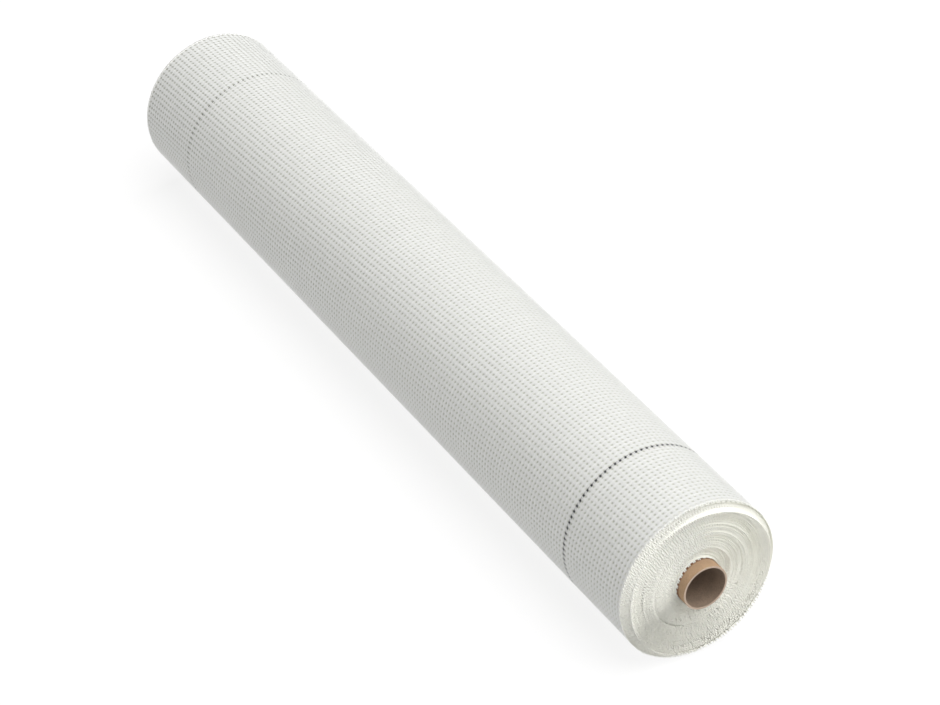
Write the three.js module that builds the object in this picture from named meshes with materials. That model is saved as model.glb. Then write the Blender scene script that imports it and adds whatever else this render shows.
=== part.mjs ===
// Roll of glass-fibre mesh on its cardboard core, lying on the floor.
// Millimetres, +Z up. The origin is on the floor under the middle of the roll.
// The roll's axis runs along X, and +X points to the end whose outer turns stand out.
import * as THREE from 'three';

// Mesh as it is wound
const MESH_WIDTH = 1000;
const ROLL_RADIUS = 85.2;

// Cardboard core
const CORE_OUTER_RADIUS = 23.7;
const CORE_WALL = 2;
const CORE_STAND_OUT = 14;

// The innermost turn sits this far off the core all round
const CORE_CLEARANCE = 0.3;

// Flat sides of every turned piece: a multiple of 4 puts one flat side on the floor
const FLAT_SIDES = 60;

// The turns have slipped along the core while the roll was wound. Each band is a run of
// turns, counted from the core outward. Its edge lies standOut past the middle place of
// the roll's end at +X, and as far inside it at the other end.
const TURN_BANDS = [
  { turns: 7, standOut: 0.6 },
  { turns: 18, standOut: -1.8 },
  { turns: 14, standOut: 0.5 },
  { turns: 12, standOut: 1 },
  { turns: 9, standOut: 0 },
  { turns: 3, standOut: -1.6 },
  { turns: 6, standOut: 3 },
  { turns: 8, standOut: 1.8 },
  { turns: 11, standOut: 0.8 },
  { turns: 6, standOut: 2.2 },
  { turns: 9, standOut: 0.2 },
  { turns: 9, standOut: 1.2 },
  { turns: 7, standOut: 3.2 },
  { turns: 6, standOut: 5 },
  { turns: 5, standOut: 6.6 },
  { turns: 5, standOut: 5 },
  { turns: 5, standOut: 3 },
  { turns: 5, standOut: 1 },
];

// Sizes that follow from the ones above
const coreBoreRadius = CORE_OUTER_RADIUS - CORE_WALL;
const coreLength = MESH_WIDTH + 2 * CORE_STAND_OUT;
const windingBoreRadius = CORE_OUTER_RADIUS + CORE_CLEARANCE;
const turnCount = TURN_BANDS.reduce((sum, band) => sum + band.turns, 0);
const turnThickness = (ROLL_RADIUS - windingBoreRadius) / turnCount;
const axisHeight = ROLL_RADIUS * Math.cos(Math.PI / FLAT_SIDES);

const meshMaterial = new THREE.MeshStandardMaterial({
  name: 'glass_fibre_mesh',
  color: 0xe9ebe3,
  roughness: 0.8,
  metalness: 0,
});

const cardboardMaterial = new THREE.MeshStandardMaterial({
  name: 'kraft_cardboard',
  color: 0xa98462,
  roughness: 0.9,
  metalness: 0,
});

// A piece turned about the roll's axis. The outline gives radius and place along the
// axis, and runs anticlockwise: out at the far end, and back in at the +X end.
function turnedPiece(name, outline, material) {
  const closedOutline = [...outline, outline[0]];
  const halfSide = Math.PI / FLAT_SIDES;
  const geometry = new THREE.LatheGeometry(closedOutline, FLAT_SIDES, halfSide);
  const piece = new THREE.Mesh(geometry, material);
  piece.name = name;
  piece.rotation.z = -Math.PI / 2;
  return piece;
}

// One flat ring for each band of turns, from the core outward, at one end of the roll
function endRings(endPlace) {
  const points = [];
  let radius = windingBoreRadius;
  for (const band of TURN_BANDS) {
    const edge = endPlace + band.standOut;
    const outerRadius = radius + band.turns * turnThickness;
    points.push(new THREE.Vector2(radius, edge), new THREE.Vector2(outerRadius, edge));
    radius = outerRadius;
  }
  return points;
}

// The wound mesh: one sheet, turned solid, with its bore and its turns on both ends
function makeMeshRoll() {
  const farEnd = endRings(-MESH_WIDTH / 2);
  const nearEnd = endRings(MESH_WIDTH / 2).reverse();
  return turnedPiece('mesh_roll', [...farEnd, ...nearEnd], meshMaterial);
}

// The tube that the mesh is wound on, open right through
function makeCoreTube() {
  const halfLength = coreLength / 2;
  const outline = [
    new THREE.Vector2(coreBoreRadius, -halfLength),
    new THREE.Vector2(CORE_OUTER_RADIUS, -halfLength),
    new THREE.Vector2(CORE_OUTER_RADIUS, halfLength),
    new THREE.Vector2(coreBoreRadius, halfLength),
  ];
  return turnedPiece('core_tube', outline, cardboardMaterial);
}

const roll = new THREE.Group();
roll.name = 'fiberglass_mesh_roll';
roll.position.z = axisHeight;
roll.add(makeMeshRoll(), makeCoreTube());

export default roll;
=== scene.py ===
"""Dresses the packed roll of glass-fibre mesh: the sheet's yarns, cut ends, cardboard core and stage.

Metres, +Z up. The roll's axis runs along X, and +X points to the near end.
"""
import math

import bpy
import numpy as np
from bpy.props import FloatProperty, FloatVectorProperty, IntProperty, PointerProperty
from bpy.types import Operator, Panel, PropertyGroup
from mathutils import Matrix, Vector


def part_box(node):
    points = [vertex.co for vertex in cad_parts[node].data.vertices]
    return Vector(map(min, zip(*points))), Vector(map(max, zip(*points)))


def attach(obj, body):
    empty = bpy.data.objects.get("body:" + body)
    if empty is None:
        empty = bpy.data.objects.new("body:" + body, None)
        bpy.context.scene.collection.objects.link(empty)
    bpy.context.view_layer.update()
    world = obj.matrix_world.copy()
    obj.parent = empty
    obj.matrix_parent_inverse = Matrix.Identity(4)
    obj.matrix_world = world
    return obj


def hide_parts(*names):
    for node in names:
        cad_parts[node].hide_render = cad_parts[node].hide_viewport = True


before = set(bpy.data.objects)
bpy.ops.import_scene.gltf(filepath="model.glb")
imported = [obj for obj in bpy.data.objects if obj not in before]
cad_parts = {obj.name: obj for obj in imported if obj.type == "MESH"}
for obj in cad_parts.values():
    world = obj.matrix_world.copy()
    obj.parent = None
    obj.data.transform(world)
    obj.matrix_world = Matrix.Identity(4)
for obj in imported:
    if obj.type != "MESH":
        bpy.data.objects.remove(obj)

bl_info = {
    "name": "Mesh Roll Dressing",
    "version": (1, 0, 0),
    "blender": (4, 5, 0),
    "location": "View3D > Sidebar > Mesh Roll",
    "description": "Weaves and winds a roll of glass-fibre mesh round its cardboard core",
    "category": "Add Mesh",
}

TAU = math.tau
MM = 0.001

# The box of the packed solids, before anything is added
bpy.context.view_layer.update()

# Places and sizes that come from the packed solids
ROLL_LOW, ROLL_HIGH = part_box("mesh_roll")
CORE_LOW, CORE_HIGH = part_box("core_tube")
AXIS_HEIGHT = (ROLL_LOW.z + ROLL_HIGH.z) / 2
ROLL_RADIUS = (ROLL_HIGH.z - ROLL_LOW.z) / 2
CORE_RADIUS = (CORE_HIGH.z - CORE_LOW.z) / 2
CORE_HALF_LENGTH = (CORE_HIGH.x - CORE_LOW.x) / 2

# How far the turns have slipped along the core while they were wound: pairs of a turn, counted
# from the core outward, and its slip towards +X in millimetres
TURN_SLIP = (
    (0, 3.0), (1.15, 3.0), (1.35, -1.2), (8, -2.4), (24, -2.0), (25.1, -2.2), (25.3, 0.8), (38, 0.7),
    (50, 1.1), (58, 0.4), (60, -1.4), (61.3, -2.2), (61.5, 3.9), (62.6, 3.9), (62.9, 2.4), (76, 1.6),
    (86.9, 0.6), (87.1, 2.8), (88.1, 2.8), (88.4, 1.3), (94, 0.3), (103, 0.0), (112, 1.2),
    (119, 2.6), (125.9, 5.3), (126.25, 8.6), (126.95, 8.6), (127.1, 3.9), (131, 2.7), (135, 1.2),
    (140, -0.7), (143, -0.9), (143.62, -0.7), (143.75, 0.6), (144, 1.0), (145, 1.0),
)

# How much less the outer turns have slipped at -X: pairs of a turn and a share
FAR_END_CALM = ((120, 0), (130, 0.95), (143, 0.95), (143.7, 0))

# How far each layer beneath the outermost one has slipped past the one above it
LAYER_SLIP = 0.0007

# Bearing round the axis where the sideways wander of the sheet is nil
WANDER_ZERO = math.radians(120)

# Past this turn the turns slip by chance only this share as far
EVEN_FROM = 122
EVEN_SHARE = 0.3

# Turns that stand proud of their neighbours: the first one, the gap from one to the next, and
# the turn past which only those in one stretch do, given by its middle and half its width
FIRST_PROUD = 2.5
PROUD_GAP = (3.0, 5.5)
INNER_TURNS = 121
OUTER_STRETCH = (135, 7)

# How far the wefts and the cut ends run on past the last warp line, so that they overlap
OVERLAP = 0.0006

# The section of a weft: places across it in widths, and how deep they lie in millimetres
WEFT_ACROSS = (-0.5, -0.28, 0.28, 0.5, 0.0)
WEFT_DROP = (0.42, 0.27, 0.27, 0.42, 0.60)

# Threads that run round the roll: how deep the crown lies, and how much deeper the edges do
GROUND_WARP_WIDTH = 0.0021
GROUND_WARP_DEPTHS = (0.00010, 0.00030)
DARK_THREAD_DEPTHS = (0.00034, 0.00010)

# A crossing yarn over one weft: stations along the sheet in half wefts, its slant across the
# sheet in millimetres, and how much deeper its two edges lie than its crown, in millimetres
CROSSING_ALONG = (-1.46, -0.70, 0.70, 1.46)
CROSSING_SLANT = (-0.85, -0.55, 0.55, 0.85)
CROSSING_DROP = (0.30, 0, 0.30)

# How much narrower a crossing yarn is over a dark thread, and how much deeper it dips there
DARK_NARROWING = 0.6
DARK_DIP = 3.0

# Where the two soft lights stand, as seen from the roll, and how wide they are in degrees
KEY_SIDE, KEY_SPREAD = (0.28, 0.24, 0.93), 65
END_SIDE, END_SPREAD = (0.98, -0.04, 0.06), 60


def length_property(name, description, default):
    return FloatProperty(
        name=name, description=description, default=default,
        unit="LENGTH", subtype="DISTANCE", precision=5,
    )


def angle_property(name, description, degrees):
    return FloatProperty(
        name=name, description=description, default=math.radians(degrees),
        unit="ROTATION", subtype="ANGLE",
    )


def colour_property(name, description, default):
    return FloatVectorProperty(
        name=name, description=description, default=default,
        subtype="COLOR", size=3, min=0, max=1,
    )


class SheetSizes(PropertyGroup):
    """The mesh as it is woven and wound."""

    half_width: length_property("Half width", "Half of the sheet's width, cut edge to cut edge", 0.5)
    turns: IntProperty(name="Turns", description="Turns on the core", default=145, min=2)
    core_gap: length_property("Core gap", "Gap between the core and the first turn", 0.0003)
    free_end: angle_property("Free end", "Bearing of the sheet's free end, from +Y towards +Z", 289.5)
    warp_lines: IntProperty(name="Warp lines", description="Yarns along the sheet", default=195, min=2)
    warp_pitch: length_property("Warp pitch", "From one warp yarn to the next", 0.00513)
    weft_pitch: length_property("Weft pitch", "From one weft yarn to the next", 0.0059646)
    weft_width: length_property("Weft width", "Width of a flat weft yarn", 0.0037)
    crossing_width: length_property("Crossing width", "Width of a warp yarn over a weft", 0.0021)
    layer_relief: length_property("Relief", "How far a crossing yarn dips between two wefts", 0.00016)
    slack: length_property("Slack", "Air between the outermost turn and the next", 0.0005)
    selvage: length_property("Selvage", "From the last warp yarn to the cut edge at +X", 0.0034)
    near_thread_line: IntProperty(
        name="Near thread line", default=19, min=1,
        description="Dark overlap thread, in warp lines from the edge at +X",
    )
    far_thread_line: IntProperty(
        name="Far thread line", default=20, min=1,
        description="Dark overlap thread, in warp lines from the edge at -X",
    )
    near_thread: length_property("Near thread", "Width of the dark thread towards +X", 0.0029)
    far_thread: length_property("Far thread", "Width of the dark thread towards -X", 0.0008)
    weft_skew: angle_property("Weft skew", "Mean slant of the wefts to the axis", 2.95)
    skew_change: angle_property("Skew change", "How much the slant changes along the roll", 0.5)
    turn_unevenness: length_property("Turn unevenness", "How far single turns slip by chance", 0.00045)
    proud_turns: length_property("Proud turns", "How far a turn stands out here and there", 0.0019)
    near_wander: length_property("Near wander", "Sideways wander of the sheet at the +X end", 0.0020)
    far_wander: length_property("Far wander", "Sideways wander of the sheet at the -X end", 0.0006)


class CutEndSizes(PropertyGroup):
    """The cut weft ends that stand out of both ends of the roll."""

    prong_width: length_property("Prong width", "Width of one half of a cut weft end", 0.0016)
    prong_thickness: length_property("Prong thickness", "Thickness of a cut weft end", 0.00038)
    prong_spread: length_property("Spread", "From the middle of a weft end to its two prongs", 0.00130)
    edge_warp_width: length_property("Edge warp width", "Width of the last warp yarn", 0.0022)
    body_depth: length_property("Body depth", "From the cut edges in to the packed turns", 0.0038)


class CoreSizes(PropertyGroup):
    """The cardboard core."""

    wall: length_property("Wall", "Wall of the core", 0.0020)
    rim_softening: length_property("Rim softening", "Rounding of the sawn rim", 0.0003)
    plies: IntProperty(name="Plies", description="Layers of board in the wall", default=5, min=1)


class Finishes(PropertyGroup):
    """The colours of the pieces."""

    yarn: colour_property("Coated yarn", "White coated glass yarn", (0.765, 0.77, 0.745))
    # Painted shade: the lower turns are a darker, greener copy of the coated yarn, and the hollows
    # colour is the shade deep in the roll
    lower_turns: colour_property("Lower turns", "Yarn of the turns beneath", (0.72, 0.725, 0.67))
    painted_hollow_shade: colour_property("Hollows", "Depth seen between the yarns", (0.30, 0.305, 0.235))
    cut_fibre: colour_property("Cut fibre", "Cut weft ends", (0.88, 0.875, 0.80))
    coated_end: colour_property("Coated end", "Outer faces of the weft ends", (0.88, 0.88, 0.84))
    overlap_thread: colour_property("Overlap thread", "Dark overlap thread", (0.035, 0.036, 0.040))
    board: colour_property("Board", "Outside of the core", (0.36, 0.235, 0.14))
    rim: colour_property("Rim", "Sawn rim of the core", (0.36, 0.275, 0.21))
    bore: colour_property("Bore", "Inside of the core", (0.215, 0.155, 0.11))
    floor: colour_property("Floor", "Pale floor", (0.20, 0.20, 0.20))


class StageSettings(PropertyGroup):
    """The camera, the lights and the floor."""

    camera_place: FloatVectorProperty(
        name="Camera place", description="Where the camera stands", size=3,
        default=(2.484273, -1.386628, 2.018547), unit="LENGTH", subtype="XYZ",
    )
    camera_heading: angle_property("Camera heading", "From +X towards +Y", 150.02147)
    camera_dip: angle_property("Camera dip", "Below the horizon", 34.83319)
    focal_length: FloatProperty(
        name="Focal length", description="For a 36 mm wide sensor", default=128.11, unit="CAMERA",
    )
    key_strength: FloatProperty(name="Key", description="Strength of the key light", default=3.35, min=0)
    end_strength: FloatProperty(name="End light", description="Light on the +X end", default=2.4, min=0)
    sky_strength: FloatProperty(
        name="Sky", description="Brightness of the surroundings", default=0.20, min=0,
    )
    floor_glow: FloatProperty(
        name="Floor glow", description="Light that the floor gives", default=0.80, min=0,
    )
    floor_size: length_property("Floor size", "Side of the square floor", 40)


class Winding:
    """Where the wound sheet lies. A wound angle is counted from the core outward, in radians."""

    def __init__(self, sheet):
        self.sheet = sheet
        bore = CORE_RADIUS + sheet.core_gap
        self.layer = (ROLL_RADIUS - bore) / sheet.turns
        self.first_radius = bore + self.layer / 2
        self.last_angle = TAU * (sheet.turns - 1)
        self.sheet_length = self.length(self.last_angle)
        chance = np.random.default_rng(5)
        self.steps = np.arange(2 * sheet.turns + 1) / 2
        self.uneven = chance.normal(0, sheet.turn_unevenness, len(self.steps))
        self.uneven[self.steps > EVEN_FROM] *= EVEN_SHARE
        self.uneven[-6:] = 0
        proud = FIRST_PROUD + np.cumsum(chance.uniform(*PROUD_GAP, sheet.turns // 4))
        middle, half_stretch = OUTER_STRETCH
        proud = proud[(proud < INNER_TURNS) | (abs(proud - middle) < half_stretch)]
        self.proud_turns = (proud[:, None] + np.array([-0.12, 0.0, 0.9, 1.02])).ravel()
        heights = np.where(proud < INNER_TURNS, 1.0, 0.6) * sheet.proud_turns
        self.proud_places = (heights[:, None] * np.array([0, 1, 1, 0])).ravel()
        self.selvages = (
            2 * sheet.half_width - sheet.selvage - (sheet.warp_lines - 1) * sheet.warp_pitch,
            sheet.selvage,
        )

    def radius(self, wound):
        """Radius of the middle of the layer."""
        return self.first_radius + self.layer * wound / TAU

    def top(self, wound):
        """Outer face of the layer, never lower than the floor lets it be."""
        return np.minimum(self.radius(wound) + self.layer / 2, ROLL_RADIUS)

    def length(self, wound):
        """Length of sheet from the core."""
        return self.first_radius * wound + self.layer * wound ** 2 / (2 * TAU)

    def wound_at(self, length):
        """The wound angle after a length of sheet."""
        growth = self.layer / TAU
        return (np.sqrt(self.first_radius ** 2 + 2 * growth * length) - self.first_radius) / growth

    def bearing(self, wound):
        """Direction round the axis, from +Y towards +Z."""
        return self.sheet.free_end + wound - self.last_angle

    def shift(self, wound, x):
        """How far the sheet stands towards +X of its middle place."""
        turn = wound / TAU + 0.5
        slipped = np.interp(turn, *zip(*TURN_SLIP)) * MM
        slipped = slipped + np.interp(turn, self.steps, self.uneven)
        slipped = slipped + np.interp(turn, self.proud_turns, self.proud_places)
        near_share = 0.5 + 0.5 * x / self.sheet.half_width
        slipped = slipped * (1 - np.interp(turn, *zip(*FAR_END_CALM)) * (1 - near_share))
        wander = self.sheet.far_wander + near_share * (self.sheet.near_wander - self.sheet.far_wander)
        return slipped + wander * np.sin(self.bearing(wound) - WANDER_ZERO)

    def skew(self, x):
        """How far a weft has run back along the sheet at x."""
        width = 2 * self.sheet.half_width
        wave = math.tan(self.sheet.skew_change) * width / TAU * np.sin(TAU * x / width)
        return -(math.tan(self.sheet.weft_skew) * x + wave)

    def weft_lengths(self, first, count):
        """Places of the wefts along the sheet, counted back from its free end."""
        return self.sheet_length - (first + 0.4 + np.arange(count)) * self.sheet.weft_pitch

    def warp_places(self):
        """Places of the warp lines across the sheet, from -X to +X."""
        last = self.sheet.half_width - self.selvages[1]
        return last - np.arange(self.sheet.warp_lines)[::-1] * self.sheet.warp_pitch

    def wefts_in_turn(self):
        """Wefts in the outermost turn, and a few that run on beneath the free end."""
        return int(TAU * ROLL_RADIUS / self.sheet.weft_pitch) + 2

    def points(self, x, wound, along, radius):
        """Points in space, a distance along the sheet from a wound angle."""
        bearing = self.bearing(wound) + along / radius
        x, bearing, radius = np.broadcast_arrays(x, bearing, radius)
        across = radius * np.cos(bearing)
        height = AXIS_HEIGHT + radius * np.sin(bearing)
        return np.stack([x, across, height], axis=-1)


def facing_out(points, quads, triangles):
    """The same faces, all turned to face out of the solid."""
    split = np.concatenate([quads[:, [0, 1, 2]], quads[:, [0, 2, 3]], triangles])
    a, b, c = (points[split[:, k]] for k in range(3))
    if np.einsum("ij,ij->i", a, np.cross(b, c)).sum() < 0:
        return quads[:, ::-1], triangles[:, ::-1]
    return quads, triangles


def add_mesh_object(name, points, quads, triangles, material, crease=None):
    """One smooth-shaded mesh object of closed solids, with an edge wherever it bends past crease."""
    quads, triangles = facing_out(points, quads, triangles)
    mesh = bpy.data.meshes.new(name)
    mesh.vertices.add(len(points))
    mesh.vertices.foreach_set("co", points.astype(np.float32).ravel())
    loops = np.concatenate([quads.ravel(), triangles.ravel()]).astype(np.int32)
    starts = np.concatenate([
        4 * np.arange(len(quads)),
        4 * len(quads) + 3 * np.arange(len(triangles)),
    ]).astype(np.int32)
    mesh.loops.add(len(loops))
    mesh.loops.foreach_set("vertex_index", loops)
    mesh.polygons.add(len(starts))
    mesh.polygons.foreach_set("loop_start", starts)
    mesh.polygons.foreach_set("use_smooth", np.ones(len(starts), bool))
    mesh.update(calc_edges=True)
    if mesh.validate():
        raise RuntimeError(f"{name} has faulty faces")
    if crease:
        mesh.set_sharp_from_angle(angle=math.radians(crease))
    mesh.materials.append(material)
    piece = bpy.data.objects.new(name, mesh)
    bpy.context.scene.collection.objects.link(piece)
    return piece


def skin(name, rings, material, looped=False, crease=None):
    """Skins like strands from ring to ring; rings is an array (strand, ring, corner, 3).

    A looped strand closes on itself, and any other is capped at both ends.
    """
    strands, stations, corners, _ = rings.shape
    index = np.arange(strands * stations * corners).reshape(strands, stations, corners)
    start = index if looped else index[:, :-1]
    onward = np.roll(index, -1, axis=1) if looped else index[:, 1:]
    faces = (start, np.roll(start, -1, axis=2), np.roll(onward, -1, axis=2), onward)
    quads = np.stack(faces, axis=-1).reshape(-1, 4)
    caps = []
    if not looped:
        for corner in range(1, corners - 1):
            caps.append(index[:, 0][:, [0, corner + 1, corner]])
            caps.append(index[:, -1][:, [0, corner, corner + 1]])
    triangles = np.concatenate(caps) if caps else np.zeros((0, 3), int)
    return add_mesh_object(name, rings.reshape(-1, 3), quads, triangles, material, crease)


def keep(piece, slot, *nodes):
    """The piece rides with the roll and may stand for CAD nodes, which are hidden. The slot is not used.
    """
    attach(piece, "root")
    if nodes:
        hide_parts(*nodes)


class Finish:
    """A node material, with short calls that add its nodes."""

    def __init__(self, name, roughness):
        self.material = bpy.data.materials.new(name)
        self.material.use_nodes = True
        self.tree = self.material.node_tree
        self.shader = self.tree.nodes["Principled BSDF"]
        self.shader.inputs["Roughness"].default_value = roughness

    def feed(self, socket, value):
        if isinstance(value, bpy.types.NodeSocket):
            self.tree.links.new(value, socket)
        else:
            socket.default_value = value

    def node(self, kind, inputs, **settings):
        """A new node with its settings, and its inputs given by name or number."""
        made = self.tree.nodes.new(kind)
        for setting, value in settings.items():
            setattr(made, setting, value)
        for key, value in inputs.items():
            self.feed(made.inputs[key], value)
        return made

    def maths(self, operation, *values):
        return self.node("ShaderNodeMath", dict(enumerate(values)), operation=operation).outputs[0]

    def combine(self, x, y, z):
        return self.node("ShaderNodeCombineXYZ", {"X": x, "Y": y, "Z": z}).outputs[0]

    def noise(self, vector, scale, detail=2.0):
        inputs = {"Vector": vector, "Scale": scale, "Detail": detail}
        return self.node("ShaderNodeTexNoise", inputs).outputs["Fac"]

    def ramp(self, value, low, high, bottom, top):
        """Smooth change from bottom to top while the value runs from low to high."""
        inputs = {"Value": value, "From Min": low, "From Max": high, "To Min": bottom, "To Max": top}
        node = self.node("ShaderNodeMapRange", inputs, interpolation_type="SMOOTHSTEP")
        return node.outputs["Result"]

    def blend(self, factor, first, second, mode="MIX"):
        """Mixes two colours, each an RGB triple or a socket."""
        made = self.node("ShaderNodeMix", {}, data_type="RGBA", blend_type=mode)
        self.feed(made.inputs[0], factor)
        for socket, colour in zip((made.inputs[6], made.inputs[7]), (first, second)):
            self.feed(socket, colour if isinstance(colour, bpy.types.NodeSocket) else (*colour, 1))
        return made.outputs[2]

    def shade(self, colour, low, high, value):
        """The colour darkened to low or lightened to high as the value runs from 0 to 1."""
        factor = self.ramp(value, 0, 1, low, high)
        return self.blend(1, colour, self.combine(factor, factor, factor), "MULTIPLY")

    def coordinates(self):
        """Place in the part's own frame, as three sockets."""
        place = self.node("ShaderNodeTexCoord", {}).outputs["Object"]
        return self.node("ShaderNodeSeparateXYZ", {"Vector": place}).outputs

    def round_the_axis(self, winding):
        """Sockets for x, the angle back from the free end, and the radius."""
        x, y, z = self.coordinates()
        z = self.maths("SUBTRACT", z, AXIS_HEIGHT)
        turned = winding.sheet.free_end - math.pi
        cosine, sine = math.cos(turned), math.sin(turned)
        across = self.maths("ADD", self.maths("MULTIPLY", y, cosine), self.maths("MULTIPLY", z, sine))
        height = self.maths(
            "SUBTRACT", self.maths("MULTIPLY", z, cosine), self.maths("MULTIPLY", y, sine))
        back = self.maths("SUBTRACT", math.pi, self.maths("ARCTAN2", height, across))
        radius = self.maths("SQRT", self.maths(
            "ADD", self.maths("MULTIPLY", y, y), self.maths("MULTIPLY", z, z)))
        return x, back, radius

    def bump(self, height, distance):
        made = self.node("ShaderNodeBump", {"Strength": 1.0, "Distance": distance, "Height": height})
        self.feed(self.shader.inputs["Normal"], made.outputs["Normal"])

    def finish(self, colour):
        self.feed(self.shader.inputs["Base Color"], colour)
        return self.material


def island_shade(finish, colour, low, high):
    """Gives each loose yarn its own slight shade."""
    chance = finish.node("ShaderNodeNewGeometry", {}).outputs["Random Per Island"]
    return finish.shade(colour, low, high, chance)


def weft_finish(colours, winding):
    """Coated glass yarn that runs along the roll, with the dark threads faintly showing through."""
    finish = Finish("coated_weft_yarn", 0.5)
    sheet = winding.sheet
    x, y, z = finish.coordinates()
    across = lines_from_edge(finish, winding, x, finish.round_the_axis(winding)[1], 0)
    near_off = finish.maths("ABSOLUTE", finish.maths("ADD", across, sheet.near_thread_line))
    far_line = sheet.warp_lines - 1 - sheet.far_thread_line
    far_off = finish.maths("ABSOLUTE", finish.maths("ADD", across, far_line))
    covered = finish.maths("MULTIPLY", finish.ramp(near_off, 0.15, 0.35, 0.45, 1),
                           finish.ramp(far_off, 0.10, 0.25, 0.85, 1))
    stretched = finish.combine(finish.maths("MULTIPLY", x, 60), finish.maths("MULTIPLY", y, 2500),
                               finish.maths("MULTIPLY", z, 2500))
    filaments = finish.noise(stretched, 1.0)
    finish.bump(filaments, 0.00008)
    colour = finish.shade(colours.yarn, 0.87, 0.94, filaments)
    return finish.finish(finish.shade(colour, 0, 1, covered))


def warp_finish(colours, winding):
    """Coated glass yarn that runs round the roll."""
    finish = Finish("coated_warp_yarn", 0.45)
    x, back, radius = finish.round_the_axis(winding)
    stretched = finish.combine(finish.maths("MULTIPLY", x, 3000), finish.maths("MULTIPLY", back, 14),
                               finish.maths("MULTIPLY", radius, 2000))
    filaments = finish.noise(stretched, 1.0)
    finish.bump(filaments, 0.00008)
    colour = finish.shade(colours.yarn, 0.95, 1.02, filaments)
    return finish.finish(island_shade(finish, colour, 0.95, 1.0))


def thread_finish(colours, winding):
    """The dark overlap thread."""
    finish = Finish("dark_overlap_yarn", 0.55)
    x, back, _ = finish.round_the_axis(winding)
    strands = finish.noise(finish.combine(finish.maths("MULTIPLY", x, 2500),
                                          finish.maths("MULTIPLY", back, 60), 0.0), 1.0)
    finish.bump(strands, 0.00008)
    return finish.finish(finish.shade(colours.overlap_thread, 0.6, 1.6, strands))


def cut_fibre_finish(colours):
    """Cut ends of the wefts, creamier than the coated faces."""
    finish = Finish("cut_glass_fibre", 0.7)
    x, y, z = finish.coordinates()
    fibres = finish.noise(finish.combine(finish.maths("MULTIPLY", x, 200),
                                         finish.maths("MULTIPLY", y, 3000),
                                         finish.maths("MULTIPLY", z, 3000)), 1.0)
    height = finish.maths("SUBTRACT", z, AXIS_HEIGHT)
    outward = finish.node("ShaderNodeVectorMath", {0: finish.combine(0.0, y, height)},
                          operation="NORMALIZE").outputs["Vector"]
    normal = finish.node("ShaderNodeNewGeometry", {}).outputs["Normal"]
    facing = finish.node("ShaderNodeVectorMath", {0: outward, 1: normal},
                         operation="DOT_PRODUCT").outputs["Value"]
    coated = finish.ramp(facing, 0.0, 0.6, 0, 1)
    colour = finish.blend(coated, colours.cut_fibre, colours.coated_end)
    colour = finish.shade(colour, 0.93, 1.0, fibres)
    return finish.finish(island_shade(finish, colour, 0.93, 1.0))


def lines_from_edge(finish, winding, x, back, slip):
    """Place across the sheet in warp lines, 0 at the last line towards +X and falling towards -X."""
    sheet = winding.sheet
    last_line = sheet.half_width - sheet.selvage + TURN_SLIP[-1][1] * MM + slip
    bearing = finish.maths("SUBTRACT", sheet.free_end - WANDER_ZERO, back)
    near_share = finish.maths("MULTIPLY_ADD", x, 0.5 / sheet.half_width, 0.5)
    reach = finish.maths("MULTIPLY_ADD", near_share, sheet.near_wander - sheet.far_wander,
                         sheet.far_wander)
    wander = finish.maths("MULTIPLY", reach, finish.maths("SINE", bearing))
    place = finish.maths("SUBTRACT", finish.maths("SUBTRACT", x, last_line), wander)
    return finish.maths("DIVIDE", place, sheet.warp_pitch)


def layer_cover(finish, winding, x, back, layer):
    """1 where a yarn of a lower layer lies, and 0 in its openings."""
    sheet = winding.sheet
    angle = finish.maths("ADD", back, TAU * layer)
    growth = winding.layer / (2 * TAU)
    reach = finish.maths("SUBTRACT", winding.radius(winding.last_angle),
                         finish.maths("MULTIPLY", angle, growth))
    length = finish.maths("MULTIPLY", angle, reach)
    width = 2 * sheet.half_width
    wave = finish.maths("MULTIPLY", finish.maths("SINE", finish.maths("MULTIPLY", x, TAU / width)),
                        math.tan(sheet.skew_change) * width / TAU)
    skew = finish.maths("ADD", finish.maths("MULTIPLY", x, math.tan(sheet.weft_skew)), wave)
    along = finish.maths("DIVIDE", finish.maths("SUBTRACT", length, skew), sheet.weft_pitch)
    off_weft = finish.maths("PINGPONG", finish.maths("SUBTRACT", along, 0.4), 0.5)
    across = lines_from_edge(finish, winding, x, back, LAYER_SLIP * layer)
    off_warp = finish.maths("PINGPONG", across, 0.5)
    weft_edge = sheet.weft_width / sheet.weft_pitch / 2
    warp_edge = sheet.crossing_width / sheet.warp_pitch / 2
    weft = finish.ramp(off_weft, weft_edge - 0.05, weft_edge + 0.07, 1, 0)
    warp = finish.ramp(off_warp, warp_edge - 0.05, warp_edge + 0.07, 1, 0)
    return finish.maths("MAXIMUM", weft, warp)


def lower_turns_finish(colours, winding):
    """The side of the turns beneath the outermost one: two more layers, and painted shade that darkens
    them with depth and fills the openings between.
    """
    finish = Finish("lower_turns_of_mesh", 0.6)
    x, back, _ = finish.round_the_axis(winding)
    second = layer_cover(finish, winding, x, back, 1)
    third = layer_cover(finish, winding, x, back, 2)
    # Painted shade: the third layer is half dark and the openings below it take the hollow shade colour
    deep = finish.blend(third, colours.painted_hollow_shade, finish.blend(0.5, colours.lower_turns, colours.painted_hollow_shade))
    finish.bump(second, 0.0003)
    return finish.finish(finish.blend(second, deep, colours.lower_turns))


def packed_ends_finish(colours, winding):
    """The ends of the packed turns, seen between the cut wefts, with painted shade in the grooves
    between turns.
    """
    finish = Finish("packed_turn_ends", 0.8)
    x, back, radius = finish.round_the_axis(winding)
    layers = finish.maths("ADD", finish.maths("DIVIDE", radius, winding.layer),
                          finish.maths("DIVIDE", back, TAU))
    ridge = finish.ramp(finish.maths("PINGPONG", layers, 0.5), 0.1, 0.4, 1, 0)
    finish.bump(ridge, 0.0002)
    # Painted shade: darker between the ridges of the turns, and never quite as light as the cut fibre
    return finish.finish(finish.shade(colours.cut_fibre, 0.82, 0.98, ridge))


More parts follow.
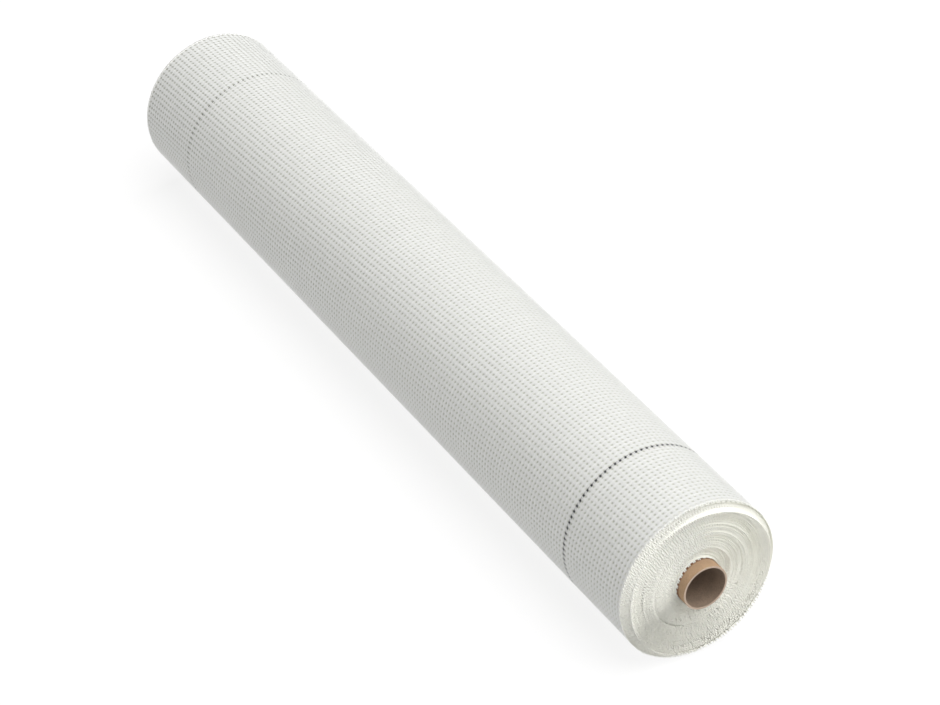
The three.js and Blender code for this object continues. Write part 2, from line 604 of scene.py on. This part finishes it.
def board_finish(name, colour, speckle, winding, paint_mesh_shadow=False):
    """Spirally wound kraft board with a faint ply seam and flecks, and if asked a painted shadow by the
    mesh.
    """
    finish = Finish(name, 0.85)
    x, y, z = finish.coordinates()
    back = finish.round_the_axis(winding)[1]
    around = finish.maths("MULTIPLY", back, CORE_RADIUS)
    spiral = finish.maths("DIVIDE", finish.maths("ADD", x, around), 0.095)
    seam = finish.ramp(finish.maths("PINGPONG", spiral, 0.5), 0.0, 0.006, 0, 1)
    place = finish.combine(x, y, z)
    flecks = finish.noise(place, 900, 4)
    blotches = finish.noise(place, 90, 3)
    tone = finish.maths("ADD", finish.maths("MULTIPLY", flecks, 0.6),
                        finish.maths("MULTIPLY", blotches, 0.4))
    tone = finish.ramp(tone, 0.3, 0.7, 0, 1)
    finish.bump(finish.maths("ADD", seam, finish.maths("MULTIPLY", flecks, 0.5)), 0.0001)
    colour = finish.shade(colour, 1 - speckle, 1 + speckle, tone)
    if paint_mesh_shadow:
        # Painted shadow: the board goes dark brown under the mesh at +X and just past its last warp
        # line, where the first turn's teeth overhang the core
        past_mesh = lines_from_edge(finish, winding, x, back, 0)
        light = finish.maths("MAXIMUM", finish.ramp(past_mesh, 0.8, 1.2, 0, 1),
                             finish.maths("LESS_THAN", x, 0))
        colour = finish.blend(light, (0.14, 0.055, 0.02), colour)
    return finish.finish(finish.shade(colour, 0.88, 1.0, seam))


class MESHROLL_OT_wind_lower_turns(Operator):
    """Wind the packed turns that lie beneath the outermost one"""

    bl_idname = "meshroll.wind_lower_turns"
    bl_label = "Wind Lower Turns"

    def execute(self, context):
        sheet, colours = context.scene.roll_sheet, context.scene.roll_finishes
        winding = Winding(sheet)
        depth = context.scene.roll_cut_ends.body_depth
        columns = np.linspace(0, TAU, 181)
        turns = np.concatenate([[0.3], np.arange(1, sheet.turns - 2, 2), [sheet.turns - 1.05]])
        turn = turns[:, None] - columns[None, :] / TAU
        turn = np.clip(turn, 0.1, None)
        wound = TAU * (turn - 0.5)
        radius = winding.radius(wound) + winding.layer / 2
        radius[-1] -= sheet.slack
        wound[-1] += TAU
        bearing = sheet.free_end - columns
        near = sheet.half_width - depth + winding.shift(wound, sheet.half_width)
        far = 0.4 * depth - sheet.half_width + winding.shift(wound, -sheet.half_width)
        near[-1] += 0.3 * depth
        x = np.concatenate([near, far[::-1]])
        radius = np.concatenate([radius, radius[::-1]])
        rings = np.stack(np.broadcast_arrays(
            x, radius * np.cos(bearing), AXIS_HEIGHT + radius * np.sin(bearing)), axis=-1)
        side = lower_turns_finish(colours, winding)
        piece = skin("wound_turns", rings[None], side, looped=True, crease=40)
        piece.data.materials.append(packed_ends_finish(colours, winding))
        middle = np.array([face.center[0] for face in piece.data.polygons])
        on_end = np.abs(middle) > sheet.half_width / 2
        piece.data.polygons.foreach_set("material_index", on_end.astype(np.int32))
        keep(piece, "glass_fibre_mesh", "mesh_roll")
        return {"FINISHED"}


class MESHROLL_OT_lay_wefts(Operator):
    """Lay the flat weft yarns of the outermost turn along the roll"""

    bl_idname = "meshroll.lay_wefts"
    bl_label = "Lay Weft Yarns"

    def execute(self, context):
        sheet, colours = context.scene.roll_sheet, context.scene.roll_finishes
        winding = Winding(sheet)
        chance = np.random.default_rng(11)
        count = winding.wefts_in_turn()
        reach = np.linspace(winding.selvages[0] - sheet.half_width - OVERLAP,
                            sheet.half_width - winding.selvages[1] + OVERLAP, 41)
        wander = 0.00012 * np.sin(TAU * (chance.uniform(3, 7, (count, 1)) * reach
                                         + chance.uniform(0, 1, (count, 1))))
        lengths = winding.weft_lengths(0, count)[:, None] + winding.skew(reach) + wander
        wound = winding.wound_at(lengths)
        x = reach + winding.shift(wound, reach)
        width = sheet.weft_width * chance.uniform(0.94, 1.05, (count, 1))
        radius = winding.top(wound)[..., None] - np.array(WEFT_DROP) * MM
        along = width[..., None] * np.array(WEFT_ACROSS)
        rings = winding.points(x[..., None], wound[..., None], along, radius)
        piece = skin("weft_yarns", rings, weft_finish(colours, winding), crease=60)
        keep(piece, "glass_fibre_mesh")
        return {"FINISHED"}


class MESHROLL_OT_lay_ground_warps(Operator):
    """Lay the straight warp yarns and the dark overlap threads round the roll"""

    bl_idname = "meshroll.lay_ground_warps"
    bl_label = "Lay Ground Warps"

    def execute(self, context):
        sheet, colours = context.scene.roll_sheet, context.scene.roll_finishes
        winding = Winding(sheet)
        lines = winding.warp_places()
        wound = winding.last_angle + np.linspace(-TAU, 0, 91)
        white = np.delete(lines, [sheet.far_thread_line, -1 - sheet.near_thread_line])
        piece = self.rings("ground_warps", winding, white, wound, GROUND_WARP_WIDTH,
                           GROUND_WARP_DEPTHS, warp_finish(colours, winding))
        keep(piece, "glass_fibre_mesh")
        dark = thread_finish(colours, winding)
        wound = winding.last_angle + np.linspace(-TAU, 0, 181)
        widths = {"overlap_thread_near": (lines[-1 - sheet.near_thread_line], sheet.near_thread),
                  "overlap_thread_far": (lines[sheet.far_thread_line], sheet.far_thread)}
        for name, (line, width) in widths.items():
            piece = self.rings(name, winding, np.array([line]), wound, width,
                               DARK_THREAD_DEPTHS, dark)
            keep(piece, "glass_fibre_mesh")
        return {"FINISHED"}

    def rings(self, name, winding, lines, wound, width, depths, material):
        """One thread round the roll for each line, ending where the slanted free end does."""
        wound = wound + winding.skew(lines)[:, None] / ROLL_RADIUS
        x = lines[:, None] + winding.shift(wound, lines[:, None])
        offset = np.array([-0.5, 0.0, 0.5]) * width
        crown, edges = depths
        depth = np.array([1.0, 0.0, 1.0]) * edges + crown
        radius = winding.top(wound)[..., None] - depth
        points = winding.points(x[..., None] + offset, wound[..., None], 0.0, radius)
        return skin(name, points, material, crease=60)


class MESHROLL_OT_cross_warps(Operator):
    """Lead the crossing warp yarns over every weft of the outermost turn"""

    bl_idname = "meshroll.cross_warps"
    bl_label = "Cross Warp Yarns"

    def execute(self, context):
        sheet, colours = context.scene.roll_sheet, context.scene.roll_finishes
        winding = Winding(sheet)
        chance = np.random.default_rng(23)
        lines = winding.warp_places()
        count = winding.wefts_in_turn()
        shape = (len(lines), count, 1)
        uneven = lines + chance.normal(0, 0.00015, len(lines))
        lengths = winding.weft_lengths(0, count) + winding.skew(lines)[:, None]
        wound = winding.wound_at(lengths)
        x = (uneven[:, None] + winding.shift(wound, lines[:, None]))[..., None]
        x = x + chance.normal(0, 0.00010, shape)
        narrow = np.ones(shape)
        narrow[[sheet.far_thread_line, -1 - sheet.near_thread_line]] = DARK_NARROWING
        width = sheet.crossing_width * narrow * chance.uniform(0.92, 1.08, shape)
        half_weft = sheet.weft_width / 2
        along = np.array(CROSSING_ALONG) * half_weft
        along = along + chance.normal(0, 0.00012, shape)
        slant = np.array(CROSSING_SLANT) * MM * narrow
        deeper = np.where(narrow < 1, DARK_DIP, 1.0)
        sunk = np.array([1.0, 0.0, 0.0, 1.0]) * sheet.layer_relief * deeper
        lift = chance.uniform(0, 0.00005, shape)
        half = width / 2 * np.array([0.8, 1.0, 1.0, 0.8])
        offset = (x + slant)[..., None] + half[..., None] * np.array([-1, 0, 1])
        crown = winding.top(wound)[..., None] - sunk - lift
        radius = crown[..., None] - np.array(CROSSING_DROP) * MM
        rings = winding.points(offset, wound[..., None, None], along[..., None], radius)
        material = warp_finish(colours, winding)
        middle = len(lines) // 2
        parts = {"crossing_warps_far": rings[:middle], "crossing_warps_near": rings[middle:]}
        for name, part in parts.items():
            piece = skin(name, part.reshape(-1, 4, 3, 3), material, crease=60)
            keep(piece, "glass_fibre_mesh")
        return {"FINISHED"}


class MESHROLL_OT_fray_cut_ends(Operator):
    """Split the cut end of every weft in two prongs, with the last warp yarn behind them"""

    bl_idname = "meshroll.fray_cut_ends"
    bl_label = "Fray Cut Ends"

    def execute(self, context):
        sheet, colours = context.scene.roll_sheet, context.scene.roll_finishes
        sizes = context.scene.roll_cut_ends
        winding = Winding(sheet)
        material = cut_fibre_finish(colours)
        wefts = int(winding.sheet_length / sheet.weft_pitch) - 2
        for name, end, seed in (("far", -1, 41), ("near", 1, 43)):
            chance = np.random.default_rng(seed)
            edge = end * sheet.half_width
            selvage = winding.selvages[0] if end < 0 else winding.selvages[1]
            lengths = np.clip(winding.weft_lengths(0, wefts) + winding.skew(edge), 0, None)
            wound = winding.wound_at(lengths)
            tips = edge + winding.shift(wound, edge)
            prongs = self.prongs(winding, sizes, chance, end, wound, tips, selvage)
            piece = skin("cut_wefts_" + name, prongs, material)
            keep(piece, "glass_fibre_mesh")
            last_warp = self.last_warp(winding, sizes, wound, tips - end * selvage)
            piece = skin("edge_warp_" + name, last_warp, material)
            keep(piece, "glass_fibre_mesh")
        return {"FINISHED"}

    def prongs(self, winding, sizes, chance, end, wound, tips, selvage):
        """Two tapered prongs on each weft end."""
        wound = np.repeat(wound, 2)[:, None, None]
        tips = np.repeat(tips, 2)[:, None, None]
        shape = tips.shape
        hand = np.where(np.arange(len(tips)) % 2, 1, -1)[:, None, None]
        reach = np.array([selvage + OVERLAP, 0.0])[None, :, None]
        uneven = np.abs(chance.normal(0, 0.00022, shape)) * np.array([0, 1])[None, :, None]
        x = tips - end * (reach + uneven)
        near_core = np.interp(wound / TAU, (0.5, 1.0), (0.70, 1.0))
        spread = hand * near_core * sizes.prong_spread * np.array([0.75, 1.0])[None, :, None]
        spread = spread + chance.normal(0, 0.00012, shape) * np.array([0.4, 1.0])[None, :, None]
        taper = np.array([1.15, 0.75])[None, :, None]
        width = sizes.prong_width * taper * chance.uniform(0.9, 1.1, shape)
        along = spread + width * np.array([-0.5, 0.0, 0.5])
        rise = sizes.prong_thickness * taper * np.array([-0.45, 0.5, -0.45])
        splay = chance.normal(0, 0.00015, shape) * np.array([0, 1])[None, :, None]
        radius = winding.radius(wound) + rise + splay
        return winding.points(x, wound, along, radius)

    def last_warp(self, winding, sizes, wound, place):
        """The last warp yarn, one spiral from the core to the free end."""
        offset = np.array([-0.5, 0.0, 0.5]) * sizes.edge_warp_width
        rise = sizes.prong_thickness * np.array([-0.4, 0.6, -0.4])
        wound = wound[:, None]
        return winding.points(place[:, None] + offset, wound, 0.0, winding.radius(wound) + rise)[None]


class MESHROLL_OT_finish_core(Operator):
    """Make the cardboard core with its sawn rims and dark bore"""

    bl_idname = "meshroll.finish_core"
    bl_label = "Finish Core"

    def execute(self, context):
        sizes, colours = context.scene.roll_core, context.scene.roll_finishes
        winding = Winding(context.scene.roll_sheet)
        radius, x = np.array(self.outline(sizes)).T
        bearing = np.linspace(0, TAU, 128, endpoint=False)
        rings = np.stack(np.broadcast_arrays(
            x[:, None], radius[:, None] * np.cos(bearing),
            AXIS_HEIGHT + radius[:, None] * np.sin(bearing)), axis=-1)
        # The outside of the core carries the painted shadow by the mesh
        outside_finish = board_finish("kraft_outside", colours.board, 0.10, winding, paint_mesh_shadow=True)
        piece = skin("core_board", rings[None], outside_finish, looped=True, crease=40)
        piece.data.materials.append(board_finish("kraft_rim", colours.rim, 0.12, winding))
        piece.data.materials.append(board_finish("kraft_bore", colours.bore, 0.18, winding))
        inside = CORE_RADIUS - sizes.wall
        for face in piece.data.polygons:
            off_axis = math.hypot(face.center[1], face.center[2] - AXIS_HEIGHT)
            if abs(face.center[0]) > CORE_HALF_LENGTH - sizes.rim_softening:
                face.material_index = 1
            elif off_axis < inside + sizes.rim_softening:
                face.material_index = 2
        keep(piece, "kraft_cardboard", "core_tube")
        return {"FINISHED"}

    def outline(self, sizes):
        """Radius and x of the core's section, round both rims and along its two faces."""
        soft = sizes.rim_softening
        ply = (sizes.wall - 2 * soft) / sizes.plies
        outside, inside = CORE_RADIUS, CORE_RADIUS - sizes.wall
        rim = []
        for step in range(4):
            angle = step * math.pi / 8
            rim.append((outside - soft + soft * math.cos(angle), soft - soft * math.sin(angle)))
        for step in range(sizes.plies):
            outer = outside - soft - step * ply
            rim.append((outer, 0.0))
            rim.append((outer - 0.85 * ply, 0.0))
            rim.append((outer - 0.925 * ply, 0.00008))
        for step in range(4, -1, -1):
            angle = step * math.pi / 8
            rim.append((inside + soft - soft * math.cos(angle), soft - soft * math.sin(angle)))
        near = [(r, CORE_HALF_LENGTH - depth) for r, depth in rim]
        far = [(r, depth - CORE_HALF_LENGTH) for r, depth in reversed(rim)]
        return near + far


class MESHROLL_OT_set_stage(Operator):
    """Set the pale floor, the soft lights and the camera"""

    bl_idname = "meshroll.set_stage"
    bl_label = "Set Stage"

    def execute(self, context):
        scene, stage = context.scene, context.scene.roll_stage
        self.floor(scene, stage, scene.roll_finishes)
        self.sky(scene, stage)
        self.soft_light(scene, "key_light", KEY_SIDE, KEY_SPREAD, stage.key_strength)
        self.soft_light(scene, "end_light", END_SIDE, END_SPREAD, stage.end_strength)
        self.camera(scene, stage)
        return {"FINISHED"}

    def floor(self, scene, stage, colours):
        half = stage.floor_size / 2
        mesh = bpy.data.meshes.new("floor")
        corners = [(-half, -half, 0), (half, -half, 0), (half, half, 0), (-half, half, 0)]
        mesh.from_pydata(corners, [], [(0, 1, 2, 3)])
        finish = Finish("pale_floor", 0.9)
        place = finish.node("ShaderNodeTexCoord", {}).outputs["Object"]
        cloud = finish.noise(place, 3.0)
        finish.shader.inputs["Specular IOR Level"].default_value = 0.0
        finish.shader.inputs["Emission Color"].default_value = (1, 1, 1, 1)
        finish.shader.inputs["Emission Strength"].default_value = stage.floor_glow
        mesh.materials.append(finish.finish(finish.shade(colours.floor, 0.98, 1.0, cloud)))
        floor = bpy.data.objects.new("floor", mesh)
        scene.collection.objects.link(floor)

    def sky(self, scene, stage):
        world = bpy.data.worlds.new("studio")
        world.use_nodes = True
        world.node_tree.nodes["Background"].inputs["Color"].default_value = (1, 1, 1, 1)
        world.node_tree.nodes["Background"].inputs["Strength"].default_value = stage.sky_strength
        scene.world = world
        scene.view_settings.view_transform = "Standard"

    def soft_light(self, scene, name, side, spread, strength):
        """A broad, even light from one side, as from a large diffuser far away."""
        lamp = bpy.data.lights.new(name, "SUN")
        lamp.angle = math.radians(spread)
        lamp.energy = strength
        light = bpy.data.objects.new(name, lamp)
        light.location = side
        light.rotation_euler = Vector(side).to_track_quat("Z", "Y").to_euler()
        scene.collection.objects.link(light)

    def camera(self, scene, stage):
        heading, dip = stage.camera_heading, stage.camera_dip
        level = math.cos(dip)
        look = Vector((level * math.cos(heading), level * math.sin(heading), -math.sin(dip)))
        right = Vector((math.sin(heading), -math.cos(heading), 0))
        up = right.cross(look)
        turn = Matrix((right, up, -look)).transposed().to_4x4()
        lens = bpy.data.cameras.new("camera")
        lens.lens = stage.focal_length
        lens.clip_start = 0.1
        lens.clip_end = 100
        camera = bpy.data.objects.new("camera", lens)
        camera.matrix_world = Matrix.Translation(stage.camera_place) @ turn
        scene.collection.objects.link(camera)
        scene.camera = camera


class MESHROLL_PT_workshop(Panel):
    """Lists the steps that dress the roll, and their sizes"""

    bl_idname = "MESHROLL_PT_workshop"
    bl_label = "Mesh Roll"
    bl_space_type = "VIEW_3D"
    bl_region_type = "UI"
    bl_category = "Mesh Roll"

    def draw(self, context):
        for group in GROUPS:
            box = self.layout.box()
            box.label(text=group.__doc__)
            for name in group.__annotations__:
                box.prop(getattr(context.scene, GROUPS[group]), name)
        for operator in OPERATORS:
            self.layout.operator(operator.bl_idname)


GROUPS = {
    SheetSizes: "roll_sheet",
    CutEndSizes: "roll_cut_ends",
    CoreSizes: "roll_core",
    Finishes: "roll_finishes",
    StageSettings: "roll_stage",
}

OPERATORS = (
    MESHROLL_OT_set_stage,
    MESHROLL_OT_wind_lower_turns,
    MESHROLL_OT_lay_wefts,
    MESHROLL_OT_lay_ground_warps,
    MESHROLL_OT_cross_warps,
    MESHROLL_OT_fray_cut_ends,
    MESHROLL_OT_finish_core,
)


def register():
    for group, name in GROUPS.items():
        bpy.utils.register_class(group)
        setattr(bpy.types.Scene, name, PointerProperty(type=group))
    for made in (*OPERATORS, MESHROLL_PT_workshop):
        bpy.utils.register_class(made)


def unregister():
    for made in (MESHROLL_PT_workshop, *reversed(OPERATORS)):
        bpy.utils.unregister_class(made)
    for group, name in reversed(GROUPS.items()):
        delattr(bpy.types.Scene, name)
        bpy.utils.unregister_class(group)


def main():
    register()
    for operator in OPERATORS:
        group, name = operator.bl_idname.split(".")
        getattr(getattr(bpy.ops, group), name)()


if __name__ == "__main__":
    main()
